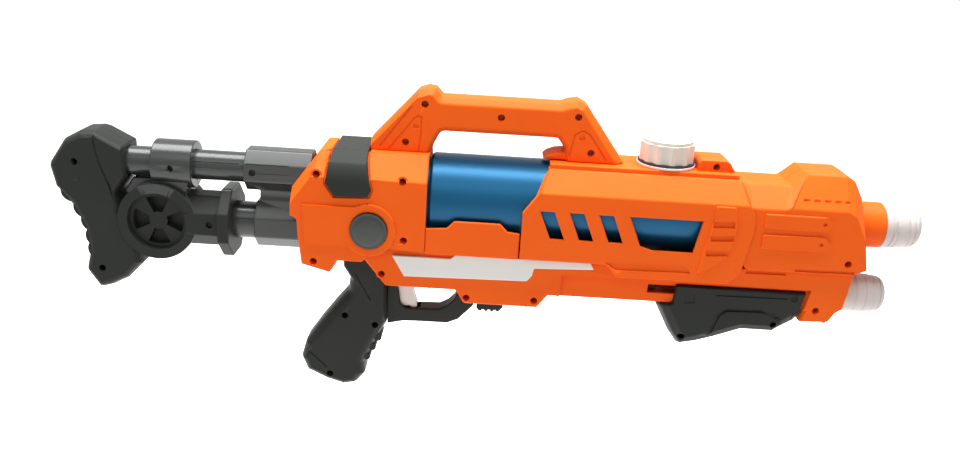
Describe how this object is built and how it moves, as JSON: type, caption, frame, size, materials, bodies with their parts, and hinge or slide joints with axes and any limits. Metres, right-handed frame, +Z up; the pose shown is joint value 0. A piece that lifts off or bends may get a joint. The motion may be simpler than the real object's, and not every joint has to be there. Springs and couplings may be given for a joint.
{
  "type": "pump water squirter",
  "caption": "Toy water squirter with a pump handle under the barrel, a side-view water tank with screw cap, a carry handle, a trigger valve and a shoulder stock.",
  "frame": {"origin": "middle of the pistol grip, between its two halves", "axes": "+X towards the muzzle, +Y to the left side, +Z up"},
  "size_m": [0.6906, 0.085, 0.2573],
  "materials": {
    "orange_shell": "satin moulded ABS",
    "grey_shell": "satin moulded ABS",
    "grey_gloss": "glossy moulded tube",
    "white_trim": "satin white plastic",
    "inner_white": "plain moulded plastic",
    "blue_tank": "pearly blue, slightly translucent",
    "black_rubber": "matte",
    "screw_steel": "plain",
    "brass_parts": "plain"
  },
  "bodies": {
    "casing": {"rear_housing_right": "orange_shell", "rear_housing_left": "orange_shell", "lower_body_right": "orange_shell", "lower_body_left": "orange_shell", "tank_shroud_right": "orange_shell", "tank_shroud_left": "orange_shell", "front_housing_right": "orange_shell", "front_housing_left": "orange_shell", "carry_handle_right": "orange_shell", "carry_handle_left": "orange_shell", "nozzle_sleeve": "orange_shell", "lower_barrel": "orange_shell", "rear_saddle": "grey_shell", "side_button_right": "grey_shell", "side_button_left": "grey_shell", "grip_right": "grey_shell", "grip_left": "grey_shell", "trigger_guard": "grey_shell", "finger_pad": "grey_shell", "butt_right": "grey_shell", "butt_left": "grey_shell", "stock_frame_right": "grey_shell", "stock_frame_left": "grey_shell", "upper_stock_tube": "grey_gloss", "lower_stock_tube": "grey_gloss", "stock_socket": "grey_gloss", "side_panel_right": "white_trim", "side_panel_left": "white_trim", "nozzle_cap": "white_trim", "lower_nozzle_cap": "white_trim", "valve_body": "inner_white", "pump_cylinder": "inner_white", "pump_gland": "inner_white", "water_tank": "blue_tank", "outlet_sleeve": "black_rubber", "nozzle_hose": "black_rubber", "air_hose": "black_rubber", "check_valve": "black_rubber", "trigger_pin": "screw_steel", "valve_spring": "screw_steel", "casing_screws": "screw_steel", "handle_screws": "screw_steel", "grip_screws": "screw_steel", "stock_screws": "screw_steel", "jet_insert": "brass_parts"},
    "trigger": {"trigger": "white_trim"},
    "valve_stem": {"valve_stem": "brass_parts", "stem_seal": "black_rubber"},
    "pump": {"pump_handle_right": "grey_shell", "pump_handle_left": "grey_shell", "pump_cross_bar": "inner_white", "pump_rod": "screw_steel", "pump_piston": "inner_white", "piston_ring": "black_rubber", "pump_screws": "screw_steel"},
    "cap_seal": {"cap_seal": "black_rubber"},
    "fill_cap": {"fill_cap": "white_trim"}
  },
  "joints": [
    {"name": "trigger_pull", "type": "hinge", "parent": "casing", "child": "trigger", "pos_m": [0.052, 0, 0.084], "axis": [0, 1, 0], "range_deg": [0, 12], "stiffness_Nm_per_rad": 0.4, "springref_deg": -14.32},
    {"name": "valve_slide", "type": "slide", "parent": "casing", "child": "valve_stem", "axis": [-1, 0, 0], "range_m": [0, 0.00283], "deforming": ["valve_spring"]},
    {"name": "pump_slide", "type": "slide", "parent": "casing", "child": "pump", "axis": [-1, 0, 0], "range_m": [0, 0.08]},
    {"name": "cap_lift", "type": "slide", "parent": "casing", "child": "cap_seal", "axis": [0, 0, 1], "range_m": [0, 0.03]},
    {"name": "cap_turn", "type": "hinge", "parent": "cap_seal", "child": "fill_cap", "pos_m": [0.252, 0, 0.169], "axis": [0, 0, 1], "range_deg": [0, 2700]}
  ],
  "couplings": [
    {"joint": "valve_slide", "follows": "trigger_pull", "m_per_rad": 0.0135},
    {"joint": "cap_lift", "follows": "cap_turn", "m_per_rad": 0.0006366}
  ]
}
